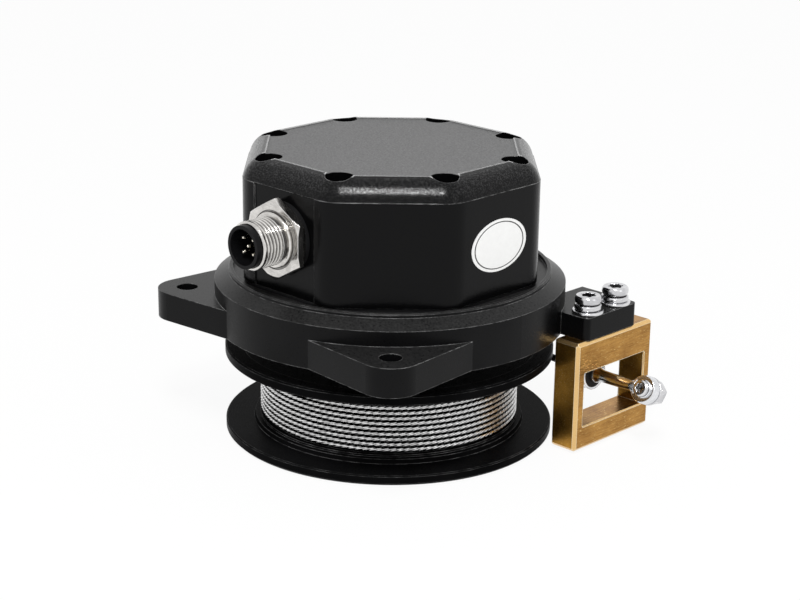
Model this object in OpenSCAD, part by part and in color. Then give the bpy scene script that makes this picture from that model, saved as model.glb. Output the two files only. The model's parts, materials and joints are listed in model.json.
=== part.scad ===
// Draw wire encoder: an octagonal sensor housing on a round cast flange, with an open spool of
// steel rope under it and a brass rope guide at its side. Millimetres, +Z up, +X along the rope.
// The origin is on the spool's axis, in the plane of the mounting ears' lower faces.

/* [Base flange] */
// Height of the flange's upright wall
base_wall_h = 11.1; // [10:0.1:12]
// Height of the seat under the cover's gasket
base_seat_z = 13.2; // [13:0.1:15]
// Width of the bevel round the flange
bevel_w = 3.6; // [3:0.1:4.5]
// Gap between the cover's corners and the lip
lip_gap = 1.2; // [0.8:0.1:2]
// Width of the raised lip round the cover
lip_w = 1.2; // [0.6:0.1:1.6]
// Height of that lip over the gasket seat
lip_h = 1.0; // [0.4:0.1:1.4]
// Thickness of the flange's floor
floor_t = 5; // [4:0.5:6]
// Wall between the hollow over the floor and the screws' middles
hollow_wall = 4.4; // [4:0.1:6]
// Outer radius of the bearing boss
boss_r = 15.4; // [14.5:0.1:17]

/* [Mounting ears] */
// Side of the square whose three corners carry the ear holes
ear_spacing = 73.5; // [72:0.5:80]
// Thickness of an ear
ear_t = 7.3; // [6:0.1:9]
// Radius of an ear's round tip
ear_tip_r = 7.5; // [6:0.1:9]
// Slope of an ear's straight edges against its own middle line
ear_edge_angle = 40; // [35:1:45]
// Diameter of an ear's hole
ear_hole_d = 5.5; // [4.5:0.1:6.6]

/* [Cover] */
// Half the width across the cover's flats
cover_r = 36.5; // [36:0.1:37]
// Height of the cover above its gasket
cover_h = 31.3; // [30:0.1:36]
// Distance of the mould line below the top
mould_line_drop = 5.4; // [5:0.1:8]
// Step at the mould line
mould_step = 0.15; // [0.05:0.05:0.3]
// Radius of the cover's upright corners
cover_corner_r = 8; // [7:0.1:9]
// Radius of the fillet round the top
cover_fillet_r = 4.6; // [3:0.1:5]
// Thickness of the cover's walls
cover_wall = 2.5; // [2:0.1:3]
// Thickness of the cover's roof
roof_t = 3; // [2.5:0.1:4]
// Distance of the sunk field's edge from the cover's flats
field_margin = 5.5; // [5:0.1:6]
// Depth of the sunk field on the roof
field_depth = 0.4; // [0.2:0.1:0.8]
// Width of the sunk panel behind the connector
panel_w = 21.3; // [18:0.1:24]
// Depth of that panel in the cover's face
panel_depth = 0.4; // [0.2:0.1:0.6]
// Thickness of the gasket
gasket_t = 0.8; // [0.5:0.1:1.2]

/* [Cover screws] */
// Distance of the screw pockets' middles from the cover's flats
pocket_inset = 6.4; // [6.2:0.1:6.8]
// Diameter of a screw pocket
pocket_d = 6.3; // [6:0.1:6.5]
// Diameter of the post round a pocket
post_d = 9.2; // [8.5:0.1:9.4]
// Thickness of the post's foot under a screw head
post_foot = 3.5; // [3:0.1:5]
// Diameter of a cover screw
cover_screw_d = 3; // [2.5:0.1:3.5]
// Diameter of a cover screw's head
cover_screw_head_d = 5.5; // [5:0.1:5.8]
// How far a cover screw reaches into the flange
cover_screw_grip = 8; // [6:0.5:9]

/* [Connector] */
// Diameter of the plug thread
plug_d = 12; // [11.8:0.1:12]
// Length of the plug thread, with its relief
plug_len = 8; // [7:0.1:12]
// How far the black insert stands out of the thread
insert_out = 1.6; // [0.4:0.1:2.5]
// Width across the flats of the hexagon
plug_hex = 17.6; // [17:0.1:19]
// Thickness of the hexagon
plug_hex_t = 2.6; // [2:0.1:4]
// Height of the connector's axis
plug_z = 28.4; // [26:0.1:31]
// Diameter of the thread that goes through the cover
stem_d = 12.4; // [12:0.1:12.6]
// Length of that thread
stem_len = 8; // [7:0.5:9]
// Thickness of the nut inside the cover
plug_nut_t = 3; // [2.5:0.5:4]
// Wall of the thread's barrel
barrel_wall = 0.65; // [0.5:0.05:0.9]
// Depth of the thread's relief behind the thread
plug_relief = 0.3; // [0.2:0.05:0.4]
// Length of that relief
plug_relief_len = 1.5; // [1:0.1:2]
// Thickness of the seal ring under the hexagon
seal_t = 1.2; // [0.8:0.1:1.6]
// Diameter of the ring of outer contacts
contact_ring_d = 5; // [4.8:0.1:5.2]
// Radius of the socket in the insert
socket_r = 4.45; // [4:0.05:4.6]
// Diameter of a contact
contact_d = 1; // [0.8:0.1:1.2]

/* [Label] */
// Width of the oval label
label_w = 19.5; // [16:0.5:22]
// Height of the oval label
label_h = 13; // [10:0.5:15]
// Height of the label's middle
label_z = 27; // [25:0.5:29]
// Thickness of the label
label_t = 0.15; // [0.1:0.05:0.3]

/* [Spool] */
// Distance of the spool's rim inside the base flange's rim
spool_inset = 2.5; // [2:0.1:4]
// Gap between the base flange and the spool
spool_gap = 6; // [5:0.1:8]
// Thickness of a spool flange
spool_flange_t = 2.6; // [2.4:0.1:3]
// Distance between the two spool flanges
spool_w = 18; // [17.6:0.1:20]
// Radius of the core under the rope
core_r = 32.2; // [31.5:0.1:33]
// Thickness of the core's wall
core_wall = 2.2; // [1.8:0.1:2.6]
// Radius of the shoulders beside the rope
shoulder_r = 35; // [34:0.1:36]
// Height of a shoulder
shoulder_h = 1.2; // [1:0.1:1.4]
// Radius of the spool's hub
hub_r = 8; // [7.5:0.5:10]

/* [Rope] */
// Diameter of the steel rope
rope_d = 1.2; // [1:0.1:1.2]
// Number of turns on the spool
rope_turns = 12; // [8:1:12]
// Distance from turn to turn
rope_pitch = 1.25; // [1.24:0.01:1.27]
// Height of the rope's pull line below the ears
pull_drop = 12.9; // [12.8:0.1:13.4]
// Diameter of the black sleeve on the rope
sleeve_d = 1.8; // [1.6:0.1:2.2]
// Length of that sleeve
sleeve_len = 16; // [10:0.5:20]

/* [Rope guide] */
// Width of the brass frame
guide_w = 30; // [29:0.5:34]
// Height of the brass frame
guide_h = 28.8; // [28:0.1:28.8]
// Thickness of the brass frame
guide_t = 8; // [7:0.5:8]
// Gap between the frame's inner corner and the spool's rim
guide_gap = 1.7; // [1:0.1:3]
// Width of the frame's window
window_w = 24; // [22:0.5:25]
// Height of the frame's window
window_h = 14.2; // [14:0.1:16]
// Distance of the window below the frame's top
window_drop = 8.3; // [7.5:0.1:8.3]
// Chamfer on the frame's outer edges
guide_chamfer = 0.8; // [0.4:0.1:1.2]

/* [Guide lug] */
// Width of the lug that carries the frame
lug_w = 20; // [19:0.5:21]
// Thickness of the lug
lug_t = 5.9; // [5:0.1:7]
// Sideways shift of the lug from the rope's line
lug_shift = -1.6; // [-2:0.1:-1]
// Radius of the lug's upright corners
lug_corner_r = 1.5; // [1:0.1:2]
// Distance between the two guide screws
guide_screw_pitch = 10.8; // [10:0.1:12]
// Diameter of the guide screws
guide_screw_d = 4; // [3.5:0.1:4]
// How far a guide screw reaches into the brass
guide_screw_grip = 6; // [5:0.5:7]
// Diameter of a guide screw's head
guide_head_d = 6.8; // [6.4:0.1:8]
// Height of a guide screw's head
guide_head_h = 2.7; // [2.4:0.1:3]
// Diameter of the flat washers
flat_washer_d = 8; // [7.6:0.1:9]
// Thickness of the flat washers
flat_washer_t = 0.8; // [0.5:0.1:1]
// Diameter of the spring washers
spring_washer_d = 6.9; // [6.6:0.1:7.4]
// Thickness of the spring washers
spring_washer_t = 1.1; // [0.9:0.1:1.3]

/* [Rope end] */
// Distance of the rubber bumper's back face behind the frame's inner face
bumper_back = 2.6; // [2:0.1:3]
// Diameter of the rubber bumper
bumper_d = 8.6; // [7:0.1:8.6]
// Thickness of the rubber bumper
bumper_t = 3.2; // [2.5:0.1:4]
// Depth of the metal cup round the bumper's front
cup_t = 1; // [0.8:0.1:1.2]
// Width of the cup's rim
cup_rim = 0.6; // [0.4:0.1:0.8]
// Distance of the eye's middle from the bumper's back face
eye_reach = 20.6; // [18:0.1:22]
// Diameter of the rod
rod_d = 2.6; // [2.2:0.1:2.8]
// Diameter of the rod's foot at the cup
rod_foot_d = 4.4; // [3.6:0.1:4.6]
// Turn of the eye about the rope's line
eye_turn = 25; // [0:5:60]
// Diameter of the eye
eye_d = 7.4; // [6.8:0.1:7.8]
// Thickness of the eye
eye_t = 3; // [2.6:0.1:3.4]
// Diameter of the screw in the eye
eye_screw_d = 3; // [2.5:0.1:3]
// Diameter of that screw's head
eye_head_d = 4.8; // [4.4:0.1:5.8]
// Height of that screw's head
eye_head_h = 1.8; // [1.5:0.1:2.2]

/* [Shaft and bearings] */
// Diameter of the main shaft
shaft_d = 8; // [7.6:0.1:8]
// Outer diameter of a bearing
bearing_d = 22; // [21:0.5:22]
// Width of a bearing
bearing_w = 7; // [6.5:0.5:7]
// Diameter of a bearing's balls
ball_d = 3.9; // [3.6:0.1:4]
// Balls in a bearing
ball_count = 7; // [6:1:8]
// Distance between the two bearings
bearing_gap = 5; // [4:0.5:6]

/* [Power spring] */
// Radius of the fixed arbor inside the spring
arbor_r = 9; // [8.5:0.1:9.5]
// Number of coils in the spring
spring_coils = 8; // [6:1:9]
// Thickness of the spring's strip
spring_t = 0.5; // [0.3:0.1:0.7]
// Height of the spring's strip
spring_h = 13; // [11:0.5:14]

/* [Encoder] */
// Diameter of the magnet
magnet_d = 6; // [5:0.5:6]
// Thickness of the magnet
magnet_t = 2.5; // [2:0.5:3]
// Distance from the magnet to the sensor
sensor_gap = 1.6; // [1:0.1:2.5]
// Gap between the circuit board's edge and the screw posts
board_gap = 4; // [2:0.5:6]
// Thickness of the circuit board
board_t = 1.6; // [1:0.2:2]
// Distance of the board's screws from its edge
board_screw_inset = 3.5; // [3.2:0.1:4]

/* [Fits] */
// Radial clearance of a screw, shaft or spigot in its hole
fit = 0.03; // [0.02:0.01:0.05]
// Gap between pieces that move past each other
run_gap = 0.4; // [0.3:0.05:0.6]

/* [Hidden] */

$fn = 64;
eps = 0.01;
cut = 1;                               // how far a cutter runs past a face

ear_ring_r = ear_spacing / sqrt(2);
ear_angles = [-45, 135, 225];
octagon_angles = [for (i = [0:7]) i * 45];
corner_angles = [for (a = octagon_angles) a + 22.5];

pocket_ring_r = (cover_r - pocket_inset) / cos(22.5);
cover_reach = (cover_r - cover_corner_r) / cos(22.5) + cover_corner_r;
base_bevel_r = cover_reach + lip_gap + lip_w;
base_r = base_bevel_r + bevel_w;
hollow_r = pocket_ring_r - hollow_wall;
board_r = pocket_ring_r - post_d / 2 - board_gap;
board_screw_ring = board_r - board_screw_inset;
spool_r = base_r - spool_inset;

cover_foot_z = base_seat_z + gasket_t;
cover_top_z = cover_foot_z + cover_h;
mould_z = cover_top_z - mould_line_drop;
field_r = cover_r - field_margin;
cover_foot_r = cover_r + mould_step;
panel_y = cover_foot_r - panel_depth;
screw_seat_z = cover_foot_z + post_foot;

spool_top_z = -spool_gap;
groove_top_z = spool_top_z - spool_flange_t;
groove_low_z = groove_top_z - spool_w;
spool_low_z = groove_low_z - spool_flange_t;
rope_r = core_r + rope_d / 2;
first_turn_z = groove_top_z - shoulder_h - rope_d / 2;
last_turn_z = first_turn_z - (rope_turns - 1) * rope_pitch;
low_step_r = core_r + rope_d;
counterbore_t = spool_flange_t;
hub_face_z = spool_low_z + counterbore_t;
web_t = 3;
spool_post_r = 2.4;
post_ring_r = core_r - spool_post_r - 1;
web_top_z = hub_face_z + web_t;

bearing_low_z = 1;
bearing_high_z = bearing_low_z + bearing_w + bearing_gap;
boss_top_z = bearing_high_z + bearing_w;
shaft_low_z = hub_face_z + 0.4;
circlip_t = 0.8;
circlip_z = boss_top_z + 0.05;
holder_z = boss_top_z + 1.6;
holder_grip = 4;
shaft_top_z = holder_z + holder_grip;
holder_h = holder_grip + 0.4 + magnet_t;
magnet_z = holder_z + holder_h - magnet_t;
sensor_t = 1.6;
board_z = holder_z + holder_h + sensor_gap + sensor_t;

arbor_plate_t = 2.5;
arbor_low_z = spool_low_z + spool_flange_t + web_t + 1;
spring_low_z = arbor_low_z + 0.4;

pull_z = -pull_drop;
guide_in_x = sqrt(pow(spool_r + guide_gap, 2) - pow(rope_r - guide_w / 2, 2));
guide_x = guide_in_x + guide_t;
bumper_x = guide_in_x - bumper_back;
lug_y = rope_r + lug_shift;
guide_mid_x = guide_x - guide_t / 2;
guide_screw_ys = [lug_y - guide_screw_pitch / 2, lug_y + guide_screw_pitch / 2];

// ---- shared shapes ----

// A round solid between two heights, with an optional hole
module disc(r, z0, z1, hole = 0) {
    difference() {
        translate([0, 0, z0]) cylinder(r = r, h = z1 - z0);
        if (hole > 0) translate([0, 0, z0 - cut]) cylinder(r = hole, h = z1 - z0 + 2 * cut);
    }
}

// A hexagonal prism with a flat-to-flat width, standing on z0
module hexagon(flats, z0, z1) {
    translate([0, 0, z0]) cylinder(r = flats / sqrt(3), h = z1 - z0, $fn = 6);
}

// Children turned so that their +Z points along -Y, at the connector's axis
module at_plug() {
    translate([0, 0, plug_z]) rotate([90, 0, 0]) children();
}

// Children turned so that their +Z points along +X, on the rope's pull line
module on_pull_line(x) {
    translate([x, rope_r, pull_z]) rotate([0, 90, 0]) children();
}

// Octagonal outline with round corners
module octagon_outline(flat_r, corner_r) {
    mid_r = (flat_r - corner_r) / cos(22.5);
    for (a = corner_angles) translate([mid_r * cos(a), mid_r * sin(a)]) circle(r = corner_r, $fn = 48);
    polygon([for (a = corner_angles, b = [-22.5, 22.5])
        [mid_r * cos(a) + corner_r * cos(a + b), mid_r * sin(a) + corner_r * sin(a + b)]]);
}

// Cross-section of the cover's dome: upright walls that turn over into the roof
module dome_section(half_w, z0, z1, fillet) {
    translate([-half_w, z0]) square([2 * half_w, z1 - fillet - z0]);
    translate([fillet - half_w, z0]) square([2 * (half_w - fillet), z1 - z0]);
    for (s = [-1, 1]) translate([s * (half_w - fillet), z1 - fillet]) circle(r = fillet);
}

module dome_bar(angle, half_w, z0, z1, fillet) {
    reach = 2 * half_w;
    rotate(angle) translate([0, reach / 2, 0]) rotate([90, 0, 0]) linear_extrude(reach)
        dome_section(half_w, z0, z1, fillet);
}

// Octagonal dome with round upright corners and a round top edge
module octagon_dome(flat_r, corner_r, z0, z1, fillet) {
    corner_reach = (flat_r - corner_r) / cos(22.5) + corner_r;
    intersection() {
        dome_bar(0, flat_r, z0, z1, fillet);
        dome_bar(45, flat_r, z0, z1, fillet);
        dome_bar(90, flat_r, z0, z1, fillet);
        dome_bar(135, flat_r, z0, z1, fillet);
        translate([0, 0, z0]) linear_extrude(z1 - z0) octagon_outline(flat_r, corner_r);
        rotate_extrude($fn = 128) intersection() {
            dome_section(corner_reach, z0, z1, fillet);
            translate([0, z0]) square([corner_reach, z1 - z0]);
        }
    }
}

// A machine screw standing head up, with its seat at z = 0 and a driving recess
module screw(d, grip, head_d, head_h, drive_d, drive_fn = 6) {
    difference() {
        union() {
            translate([0, 0, -grip]) cylinder(r = d / 2, h = grip + head_h / 2);
            cylinder(r = head_d / 2, h = head_h);
        }
        translate([0, 0, head_h * 0.4]) cylinder(r = drive_d / 2, h = head_h, $fn = drive_fn);
    }
}

// A pan head with a round-edged top on a straight shank
module pan_screw(d, grip, head_d, head_h, drive_d) {
    edge = head_h * 0.45;
    difference() {
        union() {
            translate([0, 0, -grip]) cylinder(r = d / 2, h = grip + head_h / 2);
            rotate_extrude() {
                square([head_d / 2 - edge, head_h]);
                square([head_d / 2, head_h - edge]);
                translate([head_d / 2 - edge, head_h - edge]) circle(r = edge, $fn = 32);
            }
        }
        translate([0, 0, head_h * 0.35]) cylinder(r = drive_d / 2, h = head_h, $fn = 6);
        translate([0, 0, head_h * 0.35]) rotate(30) cylinder(r = drive_d / 2, h = head_h, $fn = 6);
    }
}

// ---- base flange ----

module ear_outline() {
    lean = 90 - ear_edge_angle;
    root = base_r - 7;
    root_y = (ear_tip_r + (ear_ring_r - root) * sin(ear_edge_angle)) / cos(ear_edge_angle);
    tip = [ear_ring_r + ear_tip_r * cos(lean), ear_tip_r * sin(lean)];
    translate([ear_ring_r, 0]) circle(r = ear_tip_r);
    polygon([tip, [root, root_y], [root, -root_y], [tip[0], -tip[1]]]);
}

module lug_outline() {
    far_x = guide_x - 0.3;
    low_y = lug_y - lug_w / 2;
    high_y = lug_y + lug_w / 2;
    near_x = base_r * 2 / 3;
    translate([near_x, low_y]) square([far_x - lug_corner_r - near_x, lug_w]);
    translate([near_x, low_y + lug_corner_r]) square([far_x - near_x, lug_w - 2 * lug_corner_r]);
    for (y = [low_y + lug_corner_r, high_y - lug_corner_r])
        translate([far_x - lug_corner_r, y]) circle(r = lug_corner_r, $fn = 32);
}

module base_flange() {
    color([0.09, 0.09, 0.1]) difference() {
        union() {
            rotate_extrude($fn = 128) polygon([
                [0, 0], [base_r, 0], [base_r, base_wall_h],
                [base_bevel_r, base_seat_z], [base_bevel_r, base_seat_z + lip_h - 0.3],
                [base_bevel_r - 0.3, base_seat_z + lip_h],
                [base_bevel_r - lip_w, base_seat_z + lip_h], [base_bevel_r - lip_w, base_seat_z],
                [hollow_r, base_seat_z], [hollow_r, floor_t], [0, floor_t]]);
            for (a = ear_angles) rotate(a) linear_extrude(ear_t) ear_outline();
            linear_extrude(lug_t) lug_outline();
            cylinder(r = boss_r, h = boss_top_z);
        }
        for (a = ear_angles) rotate(a) translate([ear_ring_r, 0, -cut])
            cylinder(r = ear_hole_d / 2, h = ear_t + 2 * cut);
        translate([0, 0, -cut]) cylinder(r = bearing_d / 2 + fit, h = bearing_low_z + bearing_w + cut);
        translate([0, 0, -cut]) cylinder(r = bearing_d / 2 - 1.5, h = boss_top_z + 2 * cut);
        translate([0, 0, bearing_high_z]) cylinder(r = bearing_d / 2 + fit, h = bearing_w + cut);
        for (a = corner_angles) rotate(a) translate([pocket_ring_r, 0, base_seat_z - cover_screw_grip - 1])
            cylinder(r = cover_screw_d / 2 + fit, h = cover_screw_grip + 1 + cut);
        for (y = guide_screw_ys) translate([guide_mid_x, y, -cut])
            cylinder(r = guide_screw_d / 2 + 0.2, h = lug_t + 2 * cut);
        for (a = [0:120:240]) rotate(a) translate([board_screw_ring, 0, -cut])
            cylinder(r = 1.5 + fit, h = floor_t + 2 * cut);
        for (a = [45:90:315]) rotate(a) translate([13.2, 0, -cut])
            cylinder(r = 1.25 + fit, h = 6 + cut);
    }
}

// ---- cover ----

// Plan of the room inside the cover: an octagon with a screw post standing in each corner
module room_outline() {
    wall_r = cover_r - cover_wall;
    difference() {
        polygon([for (a = corner_angles) wall_r / cos(22.5) * [cos(a), sin(a)]]);
        for (a = corner_angles) translate(pocket_ring_r * [cos(a), sin(a)]) circle(r = post_d / 2);
    }
}

module cover() {
    color([0.05, 0.05, 0.055]) difference() {
        union() {
            translate([0, 0, cover_foot_z]) linear_extrude(mould_z - cover_foot_z)
                octagon_outline(cover_foot_r, cover_corner_r + mould_step);
            octagon_dome(cover_r, cover_corner_r, mould_z - 2, cover_top_z, cover_fillet_r);
        }
        translate([0, 0, cover_foot_z - cut]) linear_extrude(cover_h - roof_t + cut) room_outline();
        // sunk field on the roof, with its corners in the screw pockets
        translate([0, 0, cover_top_z - field_depth]) linear_extrude(field_depth + cut)
            polygon([for (a = corner_angles) field_r / cos(22.5) * [cos(a), sin(a)]]);
        // flat panel behind the connector
        translate([-panel_w / 2, -panel_y - 3, cover_foot_z - cut])
            cube([panel_w, 3, mould_z - cover_foot_z + cut]);
        for (a = corner_angles) rotate(a) {
            translate([pocket_ring_r, 0, screw_seat_z]) cylinder(r = pocket_d / 2, h = cover_h);
            translate([pocket_ring_r, 0, cover_foot_z - cut])
                cylinder(r = cover_screw_d / 2 + 0.2, h = post_foot + 2 * cut);
        }
        at_plug() translate([0, 0, panel_y - 6]) cylinder(r = stem_d / 2 + fit, h = 8);
    }
}

module cover_gasket() {
    color([0.15, 0.15, 0.15]) difference() {
        translate([0, 0, base_seat_z]) linear_extrude(gasket_t) difference() {
            octagon_outline(cover_foot_r - 0.3, cover_corner_r);
            circle(r = hollow_r);
        }
        for (a = corner_angles) rotate(a) translate([pocket_ring_r, 0, base_seat_z - cut])
            cylinder(r = cover_screw_d / 2 + 0.2, h = gasket_t + 2 * cut);
    }
}

module cover_screws() {
    color([0.5, 0.5, 0.52]) for (a = corner_angles) rotate(a) translate([pocket_ring_r, 0, screw_seat_z])
        screw(cover_screw_d, post_foot + gasket_t + cover_screw_grip, cover_screw_head_d,
              cover_screw_d, cover_screw_d);
}

module oval_label() {
    color([0.95, 0.95, 0.94]) translate([cover_foot_r, 0, label_z]) rotate([0, 90, 0])
        linear_extrude(label_t)
            polygon([for (t = [0:5:355]) [label_h / 2 * cos(t), label_w / 2 * sin(t)]]);
}

// ---- connector ----

barrel_r = plug_d / 2 - barrel_wall;
hex_back = panel_y + seal_t;
hex_face = hex_back + plug_hex_t;
thread_end = hex_face + plug_len;
stem_end = panel_y - stem_len;

module connector_shell() {
    color([0.78, 0.78, 0.8]) at_plug() difference() {
        union() {
            rotate(30) hexagon(plug_hex, hex_back, hex_face);
            disc(stem_d / 2, stem_end, hex_back + eps);
            disc(plug_d / 2 - plug_relief, hex_face - 1, hex_face + plug_relief_len + eps);
            disc(plug_d / 2, hex_face + plug_relief_len, thread_end);
        }
        disc(barrel_r, stem_end - cut, thread_end + cut);
    }
}

module connector_insert() {
    front = thread_end + insert_out;
    floor_z = hex_face;
    color([0.06, 0.06, 0.06]) at_plug() difference() {
        union() {
            disc(barrel_r - fit, stem_end + 1, floor_z);
            disc(barrel_r - fit, floor_z - eps, front, socket_r);
            // coding rib of the socket
            translate([-0.6, socket_r - 0.6, floor_z - eps]) cube([1.2, 0.8, front - floor_z - 1]);
        }
        for (p = contact_spots()) translate([p[0], p[1], stem_end])
            cylinder(r = contact_d / 2 + fit, h = floor_z - stem_end + cut);
    }
}

function contact_spots() =
    concat([[0, 0]], [for (a = [45:90:315]) contact_ring_d / 2 * [cos(a), sin(a)]]);

module connector_contacts() {
    tip = thread_end + insert_out - 1.6;
    cone = contact_d / 2;
    color([0.85, 0.75, 0.5]) at_plug() for (p = contact_spots()) translate([p[0], p[1], 0]) {
        disc(contact_d / 2, stem_end - 2, tip - cone);
        translate([0, 0, tip - cone]) cylinder(r1 = contact_d / 2, r2 = contact_d / 4, h = cone);
    }
}

module connector_seal() {
    color([0.1, 0.1, 0.1]) at_plug() disc(plug_hex / 2, panel_y, hex_back, stem_d / 2 + fit);
}

module connector_nut() {
    nut_face = cover_r - cover_wall;
    color([0.75, 0.75, 0.77]) at_plug() difference() {
        rotate(30) hexagon(stem_d + 3, nut_face - plug_nut_t, nut_face);
        translate([0, 0, nut_face - plug_nut_t - cut]) cylinder(r = stem_d / 2 + fit, h = plug_nut_t + 2 * cut);
    }
}

// ---- bearings and shaft ----

race_r = (bearing_d + shaft_d) / 4;
race_gap = 1.5;

module bearing_seats() {
    for (z = [bearing_low_z, bearing_high_z]) translate([0, 0, z]) children();
}

module ball_groove(gap) {
    translate([0, 0, bearing_w / 2]) rotate_extrude() translate([race_r, 0]) circle(r = ball_d / 2 + gap);
}

module bearing_outer_rings() {
    color([0.7, 0.71, 0.73]) bearing_seats() difference() {
        disc(bearing_d / 2, 0, bearing_w, race_r + race_gap);
        ball_groove(fit);
    }
}

module bearing_inner_rings() {
    color([0.7, 0.71, 0.73]) bearing_seats() difference() {
        disc(race_r - race_gap, 0, bearing_w, shaft_d / 2 + fit);
        ball_groove(0.1);
    }
}

module bearing_balls() {
    color([0.85, 0.86, 0.88]) bearing_seats() for (i = [0:ball_count - 1])
        rotate(i * 360 / ball_count) translate([race_r, 0, bearing_w / 2]) sphere(r = ball_d / 2, $fn = 32);
}

module bearing_cages() {
    color([0.75, 0.6, 0.3]) bearing_seats() difference() {
        disc(race_r + 0.9, bearing_w / 2 + 0.9, bearing_w / 2 + ball_d / 2 + 0.7, race_r - 0.9);
        for (i = [0:ball_count - 1]) rotate(i * 360 / ball_count)
            translate([race_r, 0, bearing_w / 2]) sphere(r = ball_d / 2 + 0.1, $fn = 32);
    }
}

module main_shaft() {
    color([0.72, 0.73, 0.75]) difference() {
        union() {
            disc(shaft_d / 2, shaft_low_z, shaft_top_z);
            disc(shaft_d / 2 + 1.3, bearing_low_z + bearing_w, bearing_high_z);
            disc(shaft_d / 2 + 1.3, web_top_z, web_top_z + 2);
        }
        disc(shaft_d, circlip_z, circlip_z + circlip_t, shaft_d / 2 - 0.4);
        translate([0, 0, shaft_low_z - cut]) cylinder(r = 2 + fit, h = 10 + cut);
    }
}

module shaft_circlip() {
    color([0.35, 0.35, 0.37]) difference() {
        disc(shaft_d / 2 + 1.3, circlip_z + 0.02, circlip_z + circlip_t - 0.02, shaft_d / 2 - 0.38);
        translate([0, -1.5, circlip_z - cut]) cube([shaft_d, 3, circlip_t + 2 * cut]);
    }
}

module shaft_seal() {
    color([0.12, 0.12, 0.12]) difference() {
        disc(arbor_r - 2.5 - fit, -arbor_plate_t, bearing_low_z - 0.2, shaft_d / 2 + run_gap / 2);
        translate([0, 0, -arbor_plate_t - cut])
            cylinder(r1 = shaft_d / 2 + 2.5, r2 = shaft_d / 2 + run_gap / 2, h = 2 + cut);
    }
}

// ---- spring drive ----

module spring_arbor() {
    color([0.3, 0.3, 0.32]) difference() {
        union() {
            disc(boss_r, -arbor_plate_t, 0);
            disc(arbor_r, arbor_low_z, -arbor_plate_t + eps);
        }
        translate([0, 0, arbor_low_z - cut]) cylinder(r = arbor_r - 2.5, h = -arbor_low_z + 2 * cut);
        for (a = [45:90:315]) rotate(a) translate([13.2, 0, -arbor_plate_t]) {
            translate([0, 0, -cut]) cylinder(r = 1.6, h = arbor_plate_t + 2 * cut);
            translate([0, 0, -cut]) cylinder(r = 1.95, h = cut + 0.6);
        }
    }
}

module arbor_screws() {
    color([0.4, 0.4, 0.42]) for (a = [45:90:315]) rotate(a) translate([13.2, 0, -arbor_plate_t + 0.6])
        rotate([180, 0, 0]) screw(2.5, 7, 3.8, 1.4, 1.8);
}

// Spiral strip from the arbor out to the spool's wall
module power_spring() {
    steps = 24;
    inner = arbor_r + 0.4;
    outer = post_ring_r - spool_post_r - spring_t - run_gap;
    grow = (outer - inner) / (spring_coils * 360);
    function spiral(t, w) = (inner + grow * t + w) * [cos(t), sin(t)];
    count = spring_coils * steps;
    color([0.45, 0.46, 0.5]) translate([0, 0, spring_low_z]) linear_extrude(spring_h)
        polygon(concat(
            [for (i = [0:count]) spiral(i * 360 / steps, spring_t)],
            [for (i = [count:-1:0]) spiral(i * 360 / steps, 0)]));
}

// ---- spool ----

module spool() {
    hole_r = 1.25 + fit;
    color([0.07, 0.07, 0.075]) difference() {
        union() {
            rotate_extrude($fn = 128) difference() {
                polygon([
                    [0, spool_low_z], [spool_r - 0.6, spool_low_z], [spool_r, spool_low_z + 0.6],
                    [spool_r, groove_low_z - 0.3], [spool_r - 0.3, groove_low_z],
                    [shoulder_r, groove_low_z], [shoulder_r - 0.3, groove_low_z + shoulder_h],
                    [low_step_r, groove_low_z + shoulder_h], [low_step_r, last_turn_z - rope_d / 2 - 0.1],
                    [core_r, last_turn_z - rope_d / 2 - 0.1], [core_r, first_turn_z + rope_d / 2 + 0.1],
                    [low_step_r, first_turn_z + rope_d / 2 + 0.1], [low_step_r, groove_top_z],
                    [0, groove_top_z]]);
                translate([0, web_top_z]) square([core_r - core_wall, spool_w + spool_flange_t]);
            }
            for (a = [0:60:300]) rotate(a) translate([post_ring_r, 0, web_top_z - eps])
                cylinder(r = spool_post_r, h = groove_top_z - web_top_z);
        }
        for (a = [0:60:300]) rotate(a) translate([post_ring_r, 0, groove_top_z - 7])
            cylinder(r = hole_r, h = 7 + cut);
        translate([0, 0, spool_low_z - cut]) cylinder(r = hub_r - 1.5, h = counterbore_t + cut);
        translate([0, 0, spool_low_z]) cylinder(r = shaft_d / 2 + fit, h = 10);
    }
}

module spool_top_flange() {
    color([0.07, 0.07, 0.075]) difference() {
        rotate_extrude($fn = 128) polygon([
            [arbor_r + 2, groove_top_z], [spool_r - 0.3, groove_top_z], [spool_r, groove_top_z + 0.3],
            [spool_r, spool_top_z - 0.4], [spool_r - 0.4, spool_top_z],
            [spool_r - 4, spool_top_z], [spool_r - 4.4, spool_top_z - 0.5], [arbor_r + 2, spool_top_z - 0.5]]);
        for (a = [0:60:300]) rotate(a) translate([post_ring_r, 0, groove_top_z - cut]) {
            cylinder(r = 1.45, h = spool_flange_t + 2 * cut);
            translate([0, 0, cut + 0.7]) cylinder(r = 2.45, h = spool_flange_t);
        }
    }
}

module spool_screws() {
    color([0.35, 0.35, 0.37]) for (a = [0:60:300]) rotate(a)
        translate([post_ring_r, 0, groove_top_z + 0.7]) screw(2.5, 7, 4.7, 1.1, 1.8);
}

module hub_washer() {
    color([0.7, 0.7, 0.72]) disc(5.5, hub_face_z - 0.8, hub_face_z, 2.1);
}

module hub_screw() {
    color([0.6, 0.6, 0.62]) translate([0, 0, hub_face_z - 0.8]) rotate([180, 0, 0])
        screw(4, 9, 7, 1.4, 2.5);
}

module rope_windings() {
    color([0.75, 0.76, 0.78]) rotate_extrude($fn = 96) {
        for (i = [0:rope_turns - 1]) translate([rope_r, first_turn_z - i * rope_pitch])
            circle(r = rope_d / 2, $fn = 24);
        translate([core_r, last_turn_z]) square([rope_d / 2, first_turn_z - last_turn_z]);
    }
}

// ---- encoder ----

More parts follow.
